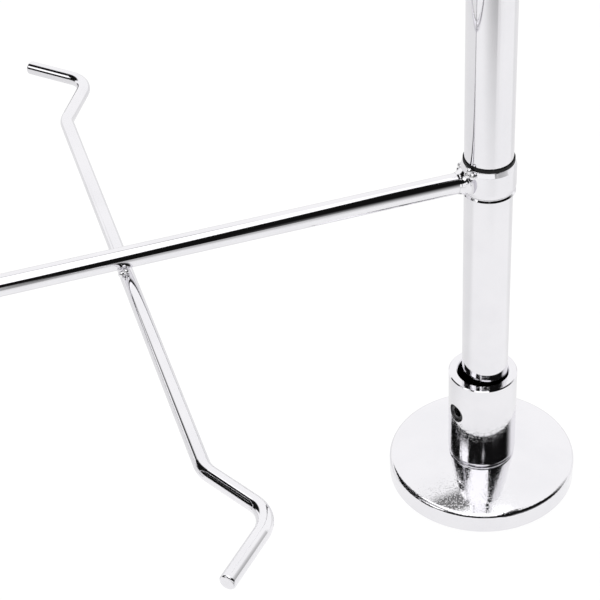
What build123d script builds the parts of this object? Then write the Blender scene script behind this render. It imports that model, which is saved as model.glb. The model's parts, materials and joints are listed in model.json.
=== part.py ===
from build123d import *
import math
import os

# Valet stand: two chromed posts on disc feet, a shoe rail with two bent shoe holders,
# a trouser bar and a jacket bow. Millimetres, +Z up, +X along the rails, front at -Y.
# The origin is on the floor, midway between the posts.

# Frame
post_spacing = 450.0
post_outer = 18.5
post_wall = 1.5
post_top = 900.0

# Foot: disc, pad and bolt
disc_diameter = 77.0
disc_rim_top = 9.3
disc_dome_rise = 4.0
disc_rim_round = 2.4
disc_base_round = 0.5
disc_land = 5.0
pad_hole_margin = 6.0
pad_thickness = 2.0
pad_proud = 0.8
bolt_diameter = 8.0
bolt_head_diameter = 16.0
bolt_head_sink = 0.2
bolt_key_flats = 5.0
bolt_key_depth = 3.2
bolt_engagement = 9.0

# Post socket and its set screw
socket_wall = 3.6
socket_length = 41.5
socket_foot_round = 1.8
socket_foot_inset = 1.1
socket_floor = 10.5
socket_bore_play = 1.0
socket_edge = 0.4
socket_screw_diameter = 8.0
socket_screw_length = 4.4
socket_screw_drop = 16.4
socket_screw_turn = 16.0
socket_screw_flats = 4.0

# Sliding T-ring
ring_wall = 1.1
ring_taper = 0.6
ring_taper_height = 1.9
ring_edge = 0.25
ring_shoulder = 3.2
ring_foot = -0.2
stub_wall = 0.4
stub_lead = 0.6
stub_reach = 2.4
stub_bore_depth = 2.8
neck_length = 1.5
neck_rise = 1.3
neck_spread = 3.4
boss_diameter = 8.6
boss_reach = 4.0
ring_screw_diameter = 5.0
ring_screw_length = 5.0
ring_screw_flats = 2.5

# Rails and shoe holders
rail_diameter = 8.0
shoe_rail_height = 148.7
trouser_bar_drop = 140.0
wire_diameter = 5.5
wire_bend_radius = 11.0
wire_from_post = 139.0
wire_run = 108.0
wire_jog_out = 26.5
wire_jog_side = 14.5
wire_tip_out = 21.5
wire_tip_side = 20.5
wire_end_round = 0.8

# Jacket bow and its clamp collars
bow_wall = 1.2
bow_leg_overlap = 180.0
bow_shoulder_height = 80.0
bow_shoulder_radius = 90.0
bow_slope = 17.0
bow_neck_radius = 140.0
collar_wall = 3.0
collar_skirt = 14.0
collar_lip = 12.0
collar_edge = 1.6
collar_screw_diameter = 6.0
collar_screw_length = 4.5
collar_screw_flats = 3.0

# Every set screw's ends
screw_chamfer = 0.5
screw_key_depth = 2.6

# Clearances
slide_play = 0.10     # between a sliding ring and its post, on the radius
leg_play = 0.30       # between a bow leg and the inside of its post, on the radius
seat_gap = 0.05       # between pieces that are pressed, screwed or welded together
screw_tip_gap = 0.15  # between a set screw's tip and the tube that slides past it

# Derived sizes
post_radius = post_outer / 2
post_bore_radius = post_radius - post_wall
post_x = post_spacing / 2
disc_radius = disc_diameter / 2
pad_radius = disc_radius - disc_land
pad_hole_radius = bolt_head_diameter / 2 + pad_hole_margin
bolt_head_base = pad_thickness + bolt_head_sink
socket_bore_radius = post_radius + socket_bore_play
socket_radius = socket_bore_radius + socket_wall
seat_radius = socket_radius - socket_foot_inset
seat_height = disc_rim_top + disc_dome_rise
socket_top = seat_height + socket_length
socket_bore_floor = seat_height + socket_floor
socket_screw_height = socket_top - socket_screw_drop
post_offset = socket_bore_play - seat_gap
rail_radius = rail_diameter / 2
ring_bore_radius = post_radius + slide_play
ring_radius = ring_bore_radius + ring_wall
stub_radius = rail_radius + stub_wall
ring_base = -stub_radius - ring_foot
ring_top = stub_radius + ring_shoulder
ring_middle = (ring_base + ring_top) / 2
stub_end = ring_radius + stub_reach
rail_end = stub_end - stub_bore_depth
trouser_bar_height = post_top - trouser_bar_drop
wire_radius = wire_diameter / 2
wire_height = shoe_rail_height - rail_radius - wire_radius - seat_gap
bow_radius = post_bore_radius - leg_play
collar_radius = post_radius + collar_wall
collar_top = post_top + collar_lip
collar_screw_height = post_top + collar_lip / 2
upright = (Align.CENTER, Align.CENTER, Align.MIN)
screw_turn = math.radians(socket_screw_turn)
screw_side = Vector(-math.cos(screw_turn), -math.sin(screw_turn), 0)


def turned(points):
    """A solid of revolution about Z from a closed outline of (radius, height) points."""
    outline = make_face(Polyline(*[(r, 0, z) for r, z in points], close=True))
    return revolve(outline, Axis.Z)


def hexagon_prism(flats, depth):
    """A hexagonal key hole that starts at the origin and goes up."""
    return extrude(RegularPolygon(flats / math.sqrt(3), 6), depth)


def set_screw(diameter, length, flats):
    """A headless screw along +Z: tip at the origin, key hole in its outer end."""
    body = Cylinder(diameter / 2 - seat_gap, length, align=upright)
    body = chamfer(rims(body), screw_chamfer)
    return body - Pos(0, 0, length - screw_key_depth) * hexagon_prism(flats, screw_key_depth)


def pointing(direction, start):
    """The place of a piece modelled along +Z when it has to point another way."""
    return Plane(origin=start, z_dir=direction).location


def rims(piece):
    """The full circles among a turned piece's edges, from the lowest to the highest."""
    return piece.edges().filter_by(GeomType.CIRCLE).filter_by(lambda edge: edge.is_closed).sort_by(Axis.Z)


def mirrored(piece):
    return mirror(piece, about=Plane.YZ)


def save(node, *solids):
    piece = solids[0] if len(solids) == 1 else Compound(children=list(solids))
    piece.label = node
    export_step(piece, f"parts/{node}.step")


def save_pair(node, right_piece):
    save(f"{node}_right", right_piece)
    save(f"{node}_left", mirrored(right_piece))


# Foot pieces, modelled about the foot's own axis

def foot_disc():
    dome_depth = (disc_radius**2 - seat_radius**2 - disc_dome_rise**2) / (2 * disc_dome_rise)
    dome_radius = math.hypot(dome_depth, disc_radius)
    middle = (disc_radius + seat_radius) / 2
    middle_height = disc_rim_top - dome_depth + math.sqrt(dome_radius**2 - middle**2)
    rim = (disc_radius, 0, disc_rim_top)
    seat = (seat_radius, 0, seat_height)
    dome = ThreePointArc(rim, (middle, 0, middle_height), seat)
    rest = Polyline(seat, (0, 0, seat_height), (0, 0, pad_proud), (disc_radius, 0, pad_proud), rim)
    disc = revolve(make_face(Curve() + [dome, rest]), Axis.Z)
    disc = fillet(rims(disc)[0], disc_base_round)
    disc = fillet(rims(disc).filter_by(lambda edge: edge.radius > disc_radius - seat_gap)[-1], disc_rim_round)
    recess = Cylinder(pad_radius + seat_gap, pad_thickness, align=upright)
    return disc - recess - foot_bolt_shape(seat_gap)


def foot_bolt_shape(grow):
    """The countersunk bolt's outline, made larger by grow for the hole that it sits in."""
    head = bolt_head_diameter / 2 + grow
    shank = bolt_diameter / 2 + grow
    base = bolt_head_base - grow
    top = seat_height + bolt_engagement + grow
    return turned([(0, base), (head, base), (shank, base + head - shank), (shank, top), (0, top)])


def foot_bolt():
    return foot_bolt_shape(0) - Pos(0, 0, bolt_head_base) * hexagon_prism(bolt_key_flats, bolt_key_depth)


def foot_pad():
    pad = Cylinder(pad_radius, pad_thickness, align=upright)
    return pad - Cylinder(pad_hole_radius, pad_thickness, align=upright)


def post_socket():
    round_height = math.sqrt(socket_foot_round**2 - (socket_foot_round - socket_foot_inset)**2)
    half_turn = math.acos(1 - socket_foot_inset / socket_foot_round) / 2
    bend = seat_height + round_height
    arc_middle = (socket_radius - socket_foot_round * (1 - math.cos(half_turn)), 0,
                  bend - socket_foot_round * math.sin(half_turn))
    seat = (seat_radius, 0, seat_height)
    shoulder = (socket_radius, 0, bend)
    foot_arc = ThreePointArc(seat, arc_middle, shoulder)
    rest = Polyline(shoulder, (socket_radius, 0, socket_top), (0, 0, socket_top), (0, 0, seat_height), seat)
    socket = revolve(make_face(Curve() + [foot_arc, rest]), Axis.Z)
    bore = turned([(0, socket_bore_floor), (socket_bore_radius, socket_bore_floor),
                   (socket_bore_radius, socket_top), (0, socket_top)])
    socket = socket - bore
    socket = chamfer(rims(socket).group_by(Axis.Z)[-1], socket_edge)
    screw_hole = Cylinder(socket_screw_diameter / 2, 2 * socket_radius, align=upright)
    screw_hole = pointing(screw_side, (0, 0, socket_screw_height)) * screw_hole
    return socket - screw_hole - foot_bolt_shape(seat_gap)


def socket_screw():
    tip = post_radius - post_offset + seat_gap
    start = screw_side * tip + Vector(0, 0, socket_screw_height)
    screw = set_screw(socket_screw_diameter, socket_screw_length, socket_screw_flats)
    return pointing(screw_side, start) * screw


def post():
    tube = Cylinder(post_radius, post_top - socket_bore_floor, align=upright)
    bore = Cylinder(post_bore_radius, post_top - socket_bore_floor, align=upright)
    return Pos(0, 0, socket_bore_floor) * (tube - bore)


# Sliding T-ring, modelled about the right post's axis with its stub towards -X and the rail's
# axis at height 0. The ring's underside is nearly level with the stub's, and its top stands higher.

def neck_section(distance, spread, rise):
    """An ellipse across the neck that keeps the stub's underside level as it grows."""
    section_plane = Plane(origin=(-distance, 0, rise), x_dir=(0, 1, 0), z_dir=(-1, 0, 0))
    return section_plane * Ellipse(stub_radius + spread, stub_radius + rise)


def ring_body():
    """A turned ring whose outside tapers in at both ends."""
    waist = ring_radius - ring_taper
    ring = turned([(0, ring_base), (waist, ring_base), (ring_radius, ring_base + ring_taper_height),
                   (ring_radius, ring_top - ring_taper_height), (waist, ring_top), (0, ring_top)])
    return fillet(rims(ring), ring_edge)


def stub():
    """A round spigot for the rail, with a cone at its open end."""
    neck_end = ring_radius + neck_length
    barrel = stub_end - neck_end - stub_lead
    rod = turned([(0, 0), (stub_radius, 0), (stub_radius, barrel),
                  (rail_radius + seat_gap, barrel + stub_lead), (0, barrel + stub_lead)])
    return pointing(Vector(-1, 0, 0), (-neck_end, 0, 0)) * rod


def t_ring():
    """A ring with a neck that narrows smoothly to a round stub, and a screw boss at the back."""
    backwards = pointing(Vector(0, 1, 0), (0, 0, ring_middle))
    neck = loft([neck_section(ring_radius - neck_length, neck_spread, neck_rise),
                 neck_section(ring_radius, neck_spread / 3, neck_rise / 3),
                 neck_section(ring_radius + neck_length, 0, 0)])
    boss = backwards * Cylinder(boss_diameter / 2, ring_radius + boss_reach, align=upright)
    fitting = ring_body() + neck + stub() + boss
    post_bore = Cylinder(ring_bore_radius, 4 * ring_top)
    rail_bore = Cylinder(rail_radius + seat_gap, stub_end, align=upright)
    rail_bore = pointing(Vector(-1, 0, 0), (-rail_end, 0, 0)) * rail_bore
    screw_hole = backwards * Cylinder(ring_screw_diameter / 2, 2 * stub_end, align=upright)
    return fitting - post_bore - rail_bore - screw_hole


def ring_screw():
    start = (0, post_radius + screw_tip_gap, ring_middle)
    screw = set_screw(ring_screw_diameter, ring_screw_length, ring_screw_flats)
    return pointing(Vector(0, 1, 0), start) * screw


def cross_rail():
    """A rod that reaches from stub to stub between the two posts."""
    rod = Cylinder(rail_radius, 2 * (post_x - rail_end))
    return Rot(0, 90, 0) * rod


def shoe_holder():
    """The right holder: a wire across the rail, with a jog towards the post near each end."""
    inner_x = post_x - wire_from_post
    half = [(inner_x, wire_run),
            (inner_x + wire_jog_side, wire_run + wire_jog_out),
            (inner_x + wire_jog_side - wire_tip_side, wire_run + wire_jog_out + wire_tip_out)]
    points = [(x, -y, wire_height) for x, y in reversed(half)] + [(x, y, wire_height) for x, y in half]
    path = FilletPolyline(*points, radius=wire_bend_radius)
    section = Plane(origin=path @ 0, z_dir=path % 0) * Circle(wire_radius)
    wire = sweep(section, path=path)
    ends = wire.faces().filter_by(GeomType.PLANE).edges()
    return fillet(ends, wire_end_round)


# Jacket bow and its clamp collars

def jacket_bow():
    slope = math.radians(bow_slope)
    shoulder = collar_top + bow_shoulder_height
    neck = shoulder + post_x * math.tan(slope)
    leg_foot = post_top - bow_leg_overlap
    points = [(-post_x, 0, leg_foot), (-post_x, 0, shoulder), (0, 0, neck),
              (post_x, 0, shoulder), (post_x, 0, leg_foot)]
    path = FilletPolyline(*points, radius=[bow_shoulder_radius, bow_neck_radius, bow_shoulder_radius])
    plane = Plane(origin=path @ 0, z_dir=path % 0)
    outer = sweep(plane * Circle(bow_radius), path=path)
    inner = sweep(plane * Circle(bow_radius - bow_wall), path=path)
    return outer - inner


def clamp_collar():
    """A stepped collar on the post's end: a skirt round the post and a lip round the bow's leg."""
    skirt_bore = post_radius + seat_gap
    base = post_top - collar_skirt
    collar = turned([(skirt_bore, base), (collar_radius, base), (collar_radius, collar_top),
                     (post_bore_radius, collar_top), (post_bore_radius, post_top), (skirt_bore, post_top)])
    top_edge = rims(collar).group_by(Axis.Z)[-1].sort_by(SortBy.RADIUS)[-1]
    collar = fillet(top_edge, collar_edge)
    hole = Cylinder(collar_screw_diameter / 2, 2 * collar_radius, align=upright)
    return collar - pointing(Vector(0, 1, 0), (0, 0, collar_screw_height)) * hole


def collar_screw():
    start = (0, bow_radius + screw_tip_gap, collar_screw_height)
    screw = set_screw(collar_screw_diameter, collar_screw_length, collar_screw_flats)
    return pointing(Vector(0, 1, 0), start) * screw


os.makedirs("parts", exist_ok=True)

# A socket's set screw pushes the post against the far side of the bore, so the foot's axis
# lies off the post's axis, on the screw's side.
at_post = Pos(post_x, 0, 0)
at_foot = Pos(screw_side * post_offset) * at_post

for node, piece in (("foot_pad", foot_pad()), ("foot_disc", foot_disc()), ("foot_bolt", foot_bolt()),
                    ("post_socket", post_socket()), ("socket_screw", socket_screw())):
    save_pair(node, at_foot * piece)

save_pair("post", at_post * post())
save_pair("clamp_collar", at_post * clamp_collar())
save("jacket_bow", jacket_bow())

for rail, height in (("shoe_rail", shoe_rail_height), ("trouser_bar", trouser_bar_height)):
    save(rail, Pos(0, 0, height) * cross_rail())
    at_ring = Pos(post_x, 0, height)
    save_pair(f"{rail}_ring", at_ring * t_ring())
    right_screw = at_ring * ring_screw()
    save(f"{rail}_screws", right_screw, mirrored(right_screw))

save_pair("shoe_holder", shoe_holder())
right_screw = at_post * collar_screw()
save("collar_screws", right_screw, mirrored(right_screw))
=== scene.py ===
import json
import math

import bpy
from mathutils import Matrix, Vector


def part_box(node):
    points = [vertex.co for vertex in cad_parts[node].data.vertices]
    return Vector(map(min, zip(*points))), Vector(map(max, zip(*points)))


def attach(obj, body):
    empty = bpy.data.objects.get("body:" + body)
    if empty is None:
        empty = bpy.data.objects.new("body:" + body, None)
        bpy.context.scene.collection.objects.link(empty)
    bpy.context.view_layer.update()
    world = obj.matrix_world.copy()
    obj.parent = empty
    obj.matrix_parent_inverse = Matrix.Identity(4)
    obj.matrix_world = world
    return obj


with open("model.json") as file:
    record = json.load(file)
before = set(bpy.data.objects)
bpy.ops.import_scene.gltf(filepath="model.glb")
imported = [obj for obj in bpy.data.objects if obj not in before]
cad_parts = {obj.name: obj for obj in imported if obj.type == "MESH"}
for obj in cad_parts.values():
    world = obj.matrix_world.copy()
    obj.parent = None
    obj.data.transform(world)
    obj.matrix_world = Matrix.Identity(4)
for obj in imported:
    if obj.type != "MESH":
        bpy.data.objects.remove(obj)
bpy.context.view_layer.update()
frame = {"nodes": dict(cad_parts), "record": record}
print("frame loaded:", len(frame["nodes"]), "nodes")


def deselectAll():
    bpy.ops.object.select_all(action="DESELECT")
    bpy.context.view_layer.objects.active = None


def middleOf(node):
    low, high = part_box(node)
    return (low + high) / 2


# Camera

photoView = {
    "azimuth": -15.178,          # degrees, seen from the left of straight on
    "elevation": 38.191,
    "roll": -3.621,
    "lens": 105.2,               # millimetres
    "sensor": 36,
    "aimHeight": 0.0727,         # the aim point is on the right post's axis
    "aimRight": 0.0738,          # where the aim point stands in the picture, in metres
    "aimUp": -0.01367,
    "distance": 0.69785,
    "nearest": 0.01,
}


def placeCamera(view):
    a, e, r = (math.radians(view[k]) for k in ("azimuth", "elevation", "roll"))
    back = Vector((math.sin(a) * math.cos(e), -math.cos(a) * math.cos(e), math.sin(e)))
    level = Vector((math.cos(a), math.sin(a), 0))
    upright = back.cross(level)
    right = math.cos(r) * level + math.sin(r) * upright
    up = -math.sin(r) * level + math.cos(r) * upright
    post = middleOf("post_right")
    aim = Vector((post.x, post.y, view["aimHeight"]))
    place = aim - right * view["aimRight"] - up * view["aimUp"] + back * view["distance"]
    camera = bpy.data.cameras.new("photoCamera")
    camera.lens = view["lens"]
    camera.sensor_width = view["sensor"]
    camera.dof.use_dof = False
    camera.clip_start = view["nearest"]
    seat = bpy.data.objects.new("photoCamera", camera)
    bpy.context.scene.collection.objects.link(seat)
    turn = Matrix((right, up, back)).transposed()
    seat.matrix_world = Matrix.Translation(place) @ turn.to_4x4()
    bpy.context.scene.camera = seat


placeCamera(photoView)
bpy.context.scene.view_settings.view_transform = "Standard"
print("camera placed")


# Node helpers

def addNode(tree, kind, **settings):
    node = tree.nodes.new(kind)
    for name, value in settings.items():
        setattr(node, name, value)
    return node


def plug(tree, value, socket):
    if isinstance(value, bpy.types.NodeSocket):
        tree.links.new(value, socket)
    else:
        socket.default_value = value


def mathNode(tree, operation, *values):
    node = addNode(tree, "ShaderNodeMath", operation=operation)
    for value, socket in zip(values, node.inputs):
        plug(tree, value, socket)
    return node.outputs[0]


def times(tree, first, *others):
    for other in others:
        first = mathNode(tree, "MULTIPLY", first, other)
    return first


def without(tree, value, taken):
    return times(tree, value, mathNode(tree, "SUBTRACT", 1.0, taken))


def ramp(tree, value, low, high, lowOut=0.0, highOut=1.0):
    node = addNode(tree, "ShaderNodeMapRange", interpolation_type="SMOOTHSTEP")
    for v, socket in zip((value, low, high, lowOut, highOut), node.inputs):
        plug(tree, v, socket)
    return node.outputs[0]


def band(tree, value, low, high, soft):
    rise = ramp(tree, value, low - soft, low + soft)
    return times(tree, rise, ramp(tree, value, high - soft, high + soft, 1.0, 0.0))


def along(tree, direction, way):
    dot = addNode(tree, "ShaderNodeVectorMath", operation="DOT_PRODUCT")
    tree.links.new(direction, dot.inputs[0])
    dot.inputs[1].default_value = way
    return dot.outputs["Value"]


def angleOf(tree, over, level):
    return mathNode(tree, "DEGREES", mathNode(tree, "ARCTAN2", over, level))


def mixShaders(tree, factor, first, second):
    mix = addNode(tree, "ShaderNodeMixShader")
    tree.links.new(factor, mix.inputs[0])
    tree.links.new(first.outputs[0], mix.inputs[1])
    tree.links.new(second.outputs[0], mix.inputs[2])
    return mix


def emptyMaterial(name):
    material = bpy.data.materials.new(name)
    material.use_nodes = True
    material.node_tree.nodes.clear()
    return material


# Studio: a pale sheet under the stand, white behind it, and a dark room in front with lights in it

floorSizes = {
    "width": 9.0,
    "back": 7.0,
    "front": 0.75,               # the sheet ends in front of the stand
    "fade": (-0.74, -0.14),      # where it goes over into the dark room
    "fadeTurn": 0.5,             # the fade lies further forward towards the right
    "shadeBehindFrom": (-0.02, 0.05),
    "behind": 0.85,              # painted shade: how white the metal sees the sheet behind the stand, dimmer as if less light fell there
    "paper": 0.9,                # how much light the sheet gives back
    "share": 0.14,               # how much of the white in view is lit, so that shadows stay faint
    "litLevel": 0.5,             # what the lit share gives, taken off the sheet's own white
}


def seenDirectly(tree):
    path = addNode(tree, "ShaderNodeLightPath")
    either = mathNode(tree, "MAXIMUM", path.outputs["Is Camera Ray"], path.outputs["Is Glossy Ray"])
    return mathNode(tree, "MAXIMUM", either, path.outputs["Is Transmission Ray"])


def greyPaper(tree, level):
    paper = addNode(tree, "ShaderNodeBsdfDiffuse")
    paper.inputs["Color"].default_value = (level, level, level, 1)
    return paper


def layFloor(sizes):
    deselectAll()
    depth = sizes["back"] + sizes["front"]
    middle = (sizes["back"] - sizes["front"]) / 2
    bpy.ops.mesh.primitive_plane_add(size=1, location=(0, middle, 0))
    floor = bpy.context.object
    floor.name = "floor"
    floor.scale = (sizes["width"], depth, 1)
    bpy.ops.object.transform_apply(location=True, rotation=True, scale=True)
    paper = emptyMaterial("floorPaper")
    tree = paper.node_tree
    split = addNode(tree, "ShaderNodeSeparateXYZ")
    tree.links.new(addNode(tree, "ShaderNodeTexCoord").outputs["Object"], split.inputs[0])
    x, y = split.outputs[:2]

    # in view, the sheet is mostly its own white
    camera = addNode(tree, "ShaderNodeLightPath").outputs["Is Camera Ray"]
    # painted shade: seen in the metal, the sheet's glow drops behind the stand; the camera still sees it
    # white
    paintedShadeBehind = ramp(tree, y, *sizes["shadeBehindFrom"], 1.0, sizes["behind"])
    seen = mathNode(tree, "MAXIMUM", paintedShadeBehind, camera)
    glow = addNode(tree, "ShaderNodeEmission")
    tree.links.new(times(tree, seen, 1 - sizes["litLevel"] * sizes["share"]), glow.inputs["Strength"])
    white = addNode(tree, "ShaderNodeAddShader")
    tree.links.new(greyPaper(tree, sizes["share"]).outputs[0], white.inputs[0])
    tree.links.new(glow.outputs[0], white.inputs[1])
    mix = mixShaders(tree, seenDirectly(tree), greyPaper(tree, sizes["paper"]), white)

    # towards the front it fades out
    right = mathNode(tree, "SUBTRACT", x, middleOf("post_right").x)
    right = mathNode(tree, "MAXIMUM", right, 0.0)
    reach = mathNode(tree, "ADD", y, times(tree, right, sizes["fadeTurn"]))
    clear = addNode(tree, "ShaderNodeBsdfTransparent")
    fade = mixShaders(tree, ramp(tree, reach, *sizes["fade"]), clear, mix)
    out = addNode(tree, "ShaderNodeOutputMaterial")
    tree.links.new(fade.outputs[0], out.inputs["Surface"])
    floor.data.materials.append(paper)


layFloor(floorSizes)

# azimuths and heights are in degrees: the front is 0 and the right is 90
roomSizes = {
    "wallLevel": 1.09,           # the white behind the stand
    "darkLevel": 0.006,
    "leftEdge": (-127, -148),    # where the dark starts, low down and high up
    "leftHeights": (10, 22),     # between which that edge moves back
    "leftSoft": 5,
    "rightEdge": (66, 100),
    "ceilingFrom": (0, 1, -0.53),    # the dark ceiling lies on the near side of this plane
    "ceilingSoft": 0.03,
    "ceilingHeights": (45, 58),
    "ceilingDepth": 0.82,
    "besideHeights": (34, 48),   # from where the first opening is clear
}
# two openings in the dark, at the right and behind it: planes, with the span in which each one opens
besidePlanes = (
    ((1, 0, -0.335), -0.01, 0.02),
    ((-0.17, 1, 0.43), -0.03, 0.03),
)
besideBackPlanes = (
    ((1, 0, -0.2), -0.04, 0.04),
    ((0, 1, -0.14), -0.03, 0.03),
)
lowRight = {
    "side": (0.17, 0.27),        # how far to the right it starts
    "heights": (-25, 28),
    "level": 0.8,
}
# lights in the dark, each between two azimuths, with heights from which and up to which it shines
roomLights = {
    "strip": {"azimuth": (-97, -67), "soft": 2, "from": (22, 27), "to": (40, 50), "level": 1.0},
    "slit": {"azimuth": (-20, -13), "soft": 1, "from": (24, 29), "to": (29.5, 31.5), "level": 0.75},
    "door": {"azimuth": (-75, 2), "soft": 3, "from": (-17, -13), "to": (9, 13), "level": 1.0},
    "sill": {"azimuth": (4, 14), "soft": 2, "from": (-92, -91), "to": (0, 2), "level": 0.5},
}
stripMore = 0.42                 # how much brighter the strip is than the wall


def openSide(tree, direction, planes):
    sides = [ramp(tree, along(tree, direction, way), low, high) for way, low, high in planes]
    return times(tree, *sides)


def roomLight(tree, azimuth, height, light):
    wide = band(tree, azimuth, *light["azimuth"], light["soft"])
    upTo = ramp(tree, height, *light["to"], light["level"], 0.0)
    return times(tree, wide, upTo, ramp(tree, height, *light["from"]))


def lightStudio(sizes):
    world = bpy.data.worlds.new("studio")
    bpy.context.scene.world = world
    world.use_nodes = True
    tree = world.node_tree
    tree.nodes.clear()
    direction = addNode(tree, "ShaderNodeTexCoord").outputs["Generated"]
    split = addNode(tree, "ShaderNodeSeparateXYZ")
    tree.links.new(direction, split.inputs[0])
    x, y, z = split.outputs
    ahead = mathNode(tree, "MULTIPLY", y, -1.0)
    azimuth = angleOf(tree, x, ahead)
    height = mathNode(tree, "DEGREES", mathNode(tree, "ARCSINE", z))

    # the room is dark from the left, round the front, to the right, and reaches further back high up
    leftStart = ramp(tree, height, *sizes["leftHeights"], *sizes["leftEdge"])
    fromLeft = mathNode(tree, "SUBTRACT", azimuth, leftStart)
    fromLeft = ramp(tree, fromLeft, -sizes["leftSoft"], sizes["leftSoft"])
    dark = times(tree, fromLeft, ramp(tree, azimuth, *sizes["rightEdge"], 1.0, 0.0))
    slope = along(tree, direction, sizes["ceilingFrom"])
    near = ramp(tree, slope, -sizes["ceilingSoft"], sizes["ceilingSoft"], 1.0, 0.0)
    ceiling = times(tree, near, ramp(tree, height, *sizes["ceilingHeights"], 0.0, sizes["ceilingDepth"]))
    dark = mathNode(tree, "MAXIMUM", dark, ceiling)
    beside = times(tree, openSide(tree, direction, besidePlanes), ramp(tree, height, *sizes["besideHeights"]))
    dark = without(tree, dark, beside)
    dark = without(tree, dark, openSide(tree, direction, besideBackPlanes))

    # then the low right and the lights are taken out of the dark
    over = angleOf(tree, z, ahead)
    low = ramp(tree, over, *lowRight["heights"], lowRight["level"], 0.0)
    dark = without(tree, dark, times(tree, ramp(tree, x, *lowRight["side"]), low))
    lights = {name: roomLight(tree, azimuth, height, light) for name, light in roomLights.items()}
    for light in lights.values():
        dark = without(tree, dark, light)

    level = without(tree, 1.0, times(tree, dark, 1 - sizes["darkLevel"]))
    level = times(tree, level, sizes["wallLevel"])
    level = mathNode(tree, "ADD", level, times(tree, lights["strip"], stripMore))
    camera = addNode(tree, "ShaderNodeLightPath").outputs["Is Camera Ray"]
    room = addNode(tree, "ShaderNodeBackground")
    room.inputs["Color"].default_value = (1, 1, 1, 1)
    tree.links.new(ramp(tree, camera, 0, 1, level, 1.0), room.inputs["Strength"])
    out = addNode(tree, "ShaderNodeOutputWorld")
    tree.links.new(room.outputs[0], out.inputs["Surface"])


lightStudio(roomSizes)

lampSizes = {
    "height": 1.6,
    "sheet": 8,                  # the whole sheet, which is clear outside the lamp
    "turn": 13.9,                # degrees about Z
    "left": -0.694,              # edges from the frame's origin, along the turned axes
    "right": 0.59,
    "front": -1.58,
    "back": 0.66,
    "soft": 0.03,
    "level": 1.5,
}


def hangLamp(sizes):
    # a large soft box overhead, which the camera looks through
    deselectAll()
    bpy.ops.mesh.primitive_plane_add(size=sizes["sheet"], location=(0, 0, sizes["height"]))
    lamp = bpy.context.object
    lamp.name = "lampSheet"
    bpy.ops.object.transform_apply(location=True, rotation=True, scale=True)
    cloth = emptyMaterial("lampCloth")
    tree = cloth.node_tree
    place = addNode(tree, "ShaderNodeTexCoord").outputs["Object"]
    turn = math.radians(sizes["turn"])
    c, s = math.cos(turn), math.sin(turn)
    across = band(tree, along(tree, place, (c, -s, 0)), sizes["left"], sizes["right"], sizes["soft"])
    deep = band(tree, along(tree, place, (s, c, 0)), sizes["front"], sizes["back"], sizes["soft"])
    camera = addNode(tree, "ShaderNodeLightPath").outputs["Is Camera Ray"]
    shape = without(tree, times(tree, across, deep), camera)
    glow = addNode(tree, "ShaderNodeEmission")
    glow.inputs["Strength"].default_value = sizes["level"]
    clear = addNode(tree, "ShaderNodeBsdfTransparent")
    out = addNode(tree, "ShaderNodeOutputMaterial")
    tree.links.new(mixShaders(tree, shape, clear, glow).outputs[0], out.inputs["Surface"])
    lamp.data.materials.append(cloth)


hangLamp(lampSizes)
print("studio lit")


# Finishes: two colours in soft patches, a roughness that follows them, and a fine grain

chrome = {
    "metal": 1.0,
    "gloss": 0.5,
    "colours": ((0.825, 0.817, 0.842, 1), (0.80, 0.793, 0.82, 1)),
    "patches": (55, 55, 55),
    "rough": (0.02, 0.05),
    "grain": (900, 900, 900),
    "grainHeight": 2e-6,         # metres
    "grainSpan": (0, 1),         # part of the noise that stands up: a narrow one leaves specks
}
looks = {
    "chrome_tube": {**chrome, "grain": (700, 700, 12), "grainHeight": 1.2e-6},
    "chrome_foot": {**chrome, "grain": (1500, 1500, 1500), "grainHeight": 1.0e-5, "grainSpan": (0.5, 0.72)},
    "chrome_fitting": {**chrome, "rough": (0.03, 0.06), "grain": (1500, 1500, 1500), "grainHeight": 6e-6},
    "chrome_rod": chrome,
    "bright_wire": {**chrome, "rough": (0.07, 0.11)},
    "weld_bead": {**chrome, "rough": (0.2, 0.3), "colours": ((0.86, 0.855, 0.87, 1), (0.80, 0.793, 0.82, 1))},
    "pad_rubber": {
        "metal": 0.0,
        "gloss": 0.2,
        "colours": ((0.006, 0.006, 0.0065, 1), (0.018, 0.018, 0.019, 1)),
        "patches": (420, 420, 420),
        "rough": (0.38, 0.62),
        "grain": (1400, 1400, 1400),
        "grainHeight": 2.5e-5,
        "grainSpan": (0, 1),
    },
    "dark_steel": {
        "metal": 0.85,
        "gloss": 0.5,
        "colours": ((0.045, 0.045, 0.048, 1), (0.11, 0.108, 0.105, 1)),
        "patches": (420, 420, 420),
        "rough": (0.28, 0.5),
        "grain": (2600, 2600, 2600),
        "grainHeight": 8e-6,
        "grainSpan": (0, 1),
    },
}
patchEdges = {
    "colour": (0.35, 0.7),       # part of the noise in which the patches change
    "rough": (0.3, 0.7),
    "detail": 4,
    "grainDetail": 2,
}


def noise(tree, place, scale, detail):
    stretch = addNode(tree, "ShaderNodeMapping")
    stretch.inputs["Scale"].default_value = scale
    tree.links.new(place, stretch.inputs["Vector"])
    cloud = addNode(tree, "ShaderNodeTexNoise")
    cloud.inputs["Scale"].default_value = 1.0
    cloud.inputs["Detail"].default_value = detail
    tree.links.new(stretch.outputs[0], cloud.inputs["Vector"])
    return cloud.outputs["Fac"]


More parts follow.
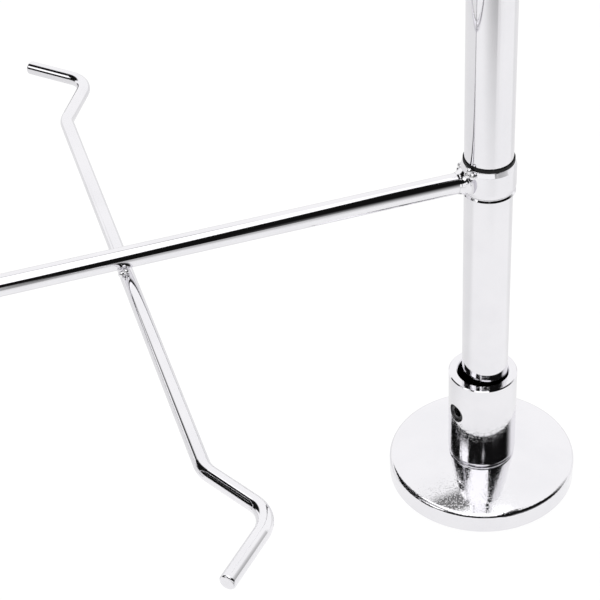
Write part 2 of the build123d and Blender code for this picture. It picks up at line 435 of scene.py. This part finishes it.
def makeFinish(name, look):
    material = bpy.data.materials.new(name)
    material.use_nodes = True
    tree = material.node_tree
    shader = tree.nodes["Principled BSDF"]
    shader.inputs["Metallic"].default_value = look["metal"]
    shader.inputs["Specular IOR Level"].default_value = look["gloss"]
    place = addNode(tree, "ShaderNodeTexCoord").outputs["Object"]
    haze = noise(tree, place, look["patches"], patchEdges["detail"])
    colour = addNode(tree, "ShaderNodeMix", data_type="RGBA")
    tree.links.new(ramp(tree, haze, *patchEdges["colour"]), colour.inputs["Factor"])
    colour.inputs["A"].default_value, colour.inputs["B"].default_value = look["colours"]
    tree.links.new(colour.outputs["Result"], shader.inputs["Base Color"])
    tree.links.new(ramp(tree, haze, *patchEdges["rough"], *look["rough"]), shader.inputs["Roughness"])
    bump = addNode(tree, "ShaderNodeBump")
    bump.inputs["Distance"].default_value = look["grainHeight"]
    grain = noise(tree, place, look["grain"], patchEdges["grainDetail"])
    tree.links.new(ramp(tree, grain, *look["grainSpan"]), bump.inputs["Height"])
    tree.links.new(bump.outputs[0], shader.inputs["Normal"])
    return material


finishes = {name: makeFinish(name, look) for name, look in looks.items()}
for part in frame["record"]["subparts"]:
    node = frame["nodes"][part["node"]]
    wire = part["node"].startswith("shoe_holder")
    node.data.materials.clear()
    node.data.materials.append(finishes["bright_wire" if wire else part["material_slot"]])
print("finishes assigned")


# Modelling helpers

def applyModifier(piece, kind, **settings):
    step = piece.modifiers.new("step", kind)
    for name, value in settings.items():
        setattr(step, name, value)
    bpy.context.view_layer.objects.active = piece
    bpy.ops.object.modifier_apply(modifier="step")


def dress(piece, name, body, sizes):
    piece.name = name
    piece.data.name = name
    deselectAll()
    piece.select_set(True)
    bpy.context.view_layer.objects.active = piece
    bpy.ops.object.shade_smooth_by_angle(angle=math.radians(sizes["smoothTo"]))
    piece.data.materials.clear()
    piece.data.materials.append(finishes[sizes["look"]])
    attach(piece, body)


def copyTo(piece, place):
    twin = piece.copy()
    twin.data = piece.data.copy()
    bpy.context.scene.collection.objects.link(twin)
    twin.data.transform(place)
    if place.determinant() < 0:
        twin.data.flip_normals()
    return twin


railBodies = {"shoe_rail": "shoe_rest", "trouser_bar": "trouser_rest"}
mirrorX = Matrix.Scale(-1, 4, (1, 0, 0))
mirrorY = Matrix.Scale(-1, 4, (0, 1, 0))


def atRails(piece, name, sizes):
    # the piece is modelled at the shoe rail's right ring, and copies go to the other rings
    lift = Matrix.Translation((0, 0, middleOf("trouser_bar").z - middleOf("shoe_rail").z))
    pieces = {"shoe_rail": piece, "trouser_bar": copyTo(piece, lift)}
    for rail, right in pieces.items():
        left = copyTo(right, mirrorX)
        dress(right, f"{rail}_{name}_right", railBodies[rail], sizes)
        dress(left, f"{rail}_{name}_left", railBodies[rail], sizes)


# Turned pieces at the rings: a circle is extruded along an outline, and its ends are bridged

def turnOutline(middle, outline, sizes):
    deselectAll()
    wide, level = outline[0]
    start = (middle.x, middle.y, level)
    bpy.ops.mesh.primitive_circle_add(vertices=sizes["sides"], radius=wide, location=start)
    piece = bpy.context.object
    bpy.ops.object.transform_apply(location=True, rotation=True, scale=True)
    bpy.ops.object.mode_set(mode="EDIT")
    bpy.ops.mesh.select_all(action="SELECT")
    for (wide, level), (nextWide, nextLevel) in zip(outline, outline[1:]):
        bpy.ops.mesh.extrude_region_move(TRANSFORM_OT_translate={"value": (0, 0, nextLevel - level)})
        grow = nextWide / wide
        bpy.ops.transform.resize(value=(grow, grow, 1), center_override=(middle.x, middle.y, nextLevel))
    bpy.ops.mesh.select_all(action="DESELECT")
    bpy.ops.mesh.select_non_manifold()
    bpy.ops.mesh.bridge_edge_loops()
    bpy.ops.mesh.select_all(action="SELECT")
    bpy.ops.mesh.normals_make_consistent(inside=False)
    bpy.ops.object.mode_set(mode="OBJECT")
    applyModifier(piece, "BEVEL", width=sizes["edge"], segments=3, limit_method="ANGLE")
    return piece


bushSizes = {
    "bore": 0.0093,              # radius, just clear of the post
    "sleeve": 0.00933,           # inside the ring
    "lip": 0.00973,
    "above": 0.0013,             # how far the lip stands out of the ring
    "seat": 0.00002,
    "edge": 0.0000175,           # bevel
    "sides": 128,
    "slot": "pad_rubber",
    "look": "pad_rubber",
    "smoothTo": 15,              # degrees
}


def makeBush(sizes):
    # a black sleeve that lines the ring, with a lip on top of it
    low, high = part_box("shoe_rail_ring_right")
    bore, sleeve, lip = sizes["bore"], sizes["sleeve"], sizes["lip"]
    seat = high.z + sizes["seat"]
    top = seat + sizes["above"]
    outline = [(bore, low.z), (sleeve, low.z), (sleeve, seat), (lip, seat), (lip, top), (bore, top)]
    return turnOutline(middleOf("post_right"), outline, sizes)


atRails(makeBush(bushSizes), "bush", bushSizes)

rimSizes = {
    "bore": 0.00937,
    "neck": 0.00975,             # radius under the ring, from where it flares
    "flare": 0.0103,
    "inRing": 0.0001,            # how far it reaches up into the ring
    "gap": 0.0003,               # from there to where it flares
    "drop": 0.00073,
    "foot": 0.00018,
    "edge": 0.00004,
    "sides": 128,
    "slot": "chrome_fitting",
    "look": "chrome_fitting",
    "smoothTo": 15,
}


def makeRim(sizes):
    # a chromed rim under the ring, flared so that its upper side shows
    bore, neck, flare = sizes["bore"], sizes["neck"], sizes["flare"]
    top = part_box("shoe_rail_ring_right")[0].z + sizes["inRing"]
    start = top - sizes["gap"]
    foot = start - sizes["drop"]
    end = foot - sizes["foot"]
    outline = [(bore, top), (neck, top), (neck, start), (flare, foot), (flare, end), (bore, end)]
    return turnOutline(middleOf("post_right"), outline, sizes)


atRails(makeRim(rimSizes), "rim", rimSizes)
print("bushes and rims made")


# Weld beads: drops run together round the joint

dropMesh = {
    "subdivisions": 4,
    "smoothing": 0.5,
}


def runTogether(drops, sizes):
    deselectAll()
    detail = dropMesh["subdivisions"]
    balls = []
    for place, radius in drops:
        bpy.ops.mesh.primitive_ico_sphere_add(subdivisions=detail, radius=radius, location=place)
        balls.append(bpy.context.object)
    for ball in balls:
        ball.select_set(True)
    bead = balls[-1]
    bpy.ops.object.join()
    bpy.ops.object.transform_apply(location=True, rotation=True, scale=True)
    applyModifier(bead, "REMESH", mode="VOXEL", voxel_size=sizes["grain"])
    applyModifier(bead, "SMOOTH", factor=dropMesh["smoothing"], iterations=sizes["rounds"])
    return bead


railWeldSizes = {
    "ringRadius": 0.01045,
    "halfWidth": 0.0054,         # of the bead's oval round the neck
    "halfHeight": 0.0050,
    "rise": 0.0005,
    "count": 6,
    "from": 185,                 # degrees round the neck: the bead runs under it and up its back
    "to": 320,
    "drop": 0.00082,             # radius of a drop, more or less
    "uneven": 0.00012,
    "unevenStep": 2.4,
    "crownReach": 0.0109,        # from the post's axis to the larger drops, clear of the post
    "crown": (                   # the larger drops: degrees round the post, height over the rail, radius
        (22, 0.0057, 0.00135),
        (35, 0.0060, 0.00135),
        (27, 0.0078, 0.0012),
        (-22, 0.0030, 0.0012),
        (-36, 0.0032, 0.0012),
    ),
    "grain": 0.00013,            # size of the mesh's cells
    "rounds": 24,
    "slot": "chrome_fitting",
    "look": "weld_bead",
    "smoothTo": 40,
}


def makeRailWeld(sizes):
    post = middleOf("post_right")
    rail = middleOf("shoe_rail").z
    reach, crown = sizes["ringRadius"], sizes["crownReach"]
    drops = []
    for i in range(sizes["count"]):
        turn = math.radians(sizes["from"] + (sizes["to"] - sizes["from"]) * i / (sizes["count"] - 1))
        across = -sizes["halfWidth"] * math.sin(turn)
        height = rail + sizes["rise"] + sizes["halfHeight"] * math.cos(turn)
        radius = sizes["drop"] + sizes["uneven"] * math.sin(sizes["unevenStep"] * i)
        drops.append(((post.x - math.sqrt(reach**2 - across**2), across, height), radius))
    for degrees, height, radius in sizes["crown"]:
        turn = math.radians(degrees)
        drops.append(((post.x - crown * math.cos(turn), -crown * math.sin(turn), rail + height), radius))
    return runTogether(drops, sizes)


atRails(makeRailWeld(railWeldSizes), "weld", railWeldSizes)

wireWeldSizes = {
    "drops": (                   # from the wire's axis under the rail, and radius
        (-0.0025, -0.0040, 0.0029, 0.0013),
        (-0.0008, -0.0039, 0.0035, 0.0013),
    ),
    "straightTo": 0.1085,        # how far the wire runs straight to either side of the rail
    "grain": 0.00013,
    "rounds": 20,
    "slot": "chrome_rod",
    "look": "weld_bead",
    "smoothTo": 40,
}


def makeWireWeld(sizes):
    points = [v.co for v in frame["nodes"]["shoe_holder_right"].data.vertices]
    straight = [p.x for p in points if abs(p.y) < sizes["straightTo"]]
    axis = (min(straight) + max(straight)) / 2
    rail = middleOf("shoe_rail")
    height = middleOf("shoe_holder_right").z
    drops = [((axis + x, rail.y + y, height + z), radius) for x, y, z, radius in sizes["drops"]]
    return runTogether(drops, sizes)


def atWires(piece, sizes):
    for end, right in (("front", piece), ("back", copyTo(piece, mirrorY))):
        left = copyTo(right, mirrorX)
        dress(right, f"wire_weld_{end}_right", "shoe_rest", sizes)
        dress(left, f"wire_weld_{end}_left", "shoe_rest", sizes)


atWires(makeWireWeld(wireWeldSizes), wireWeldSizes)
print("weld beads made")
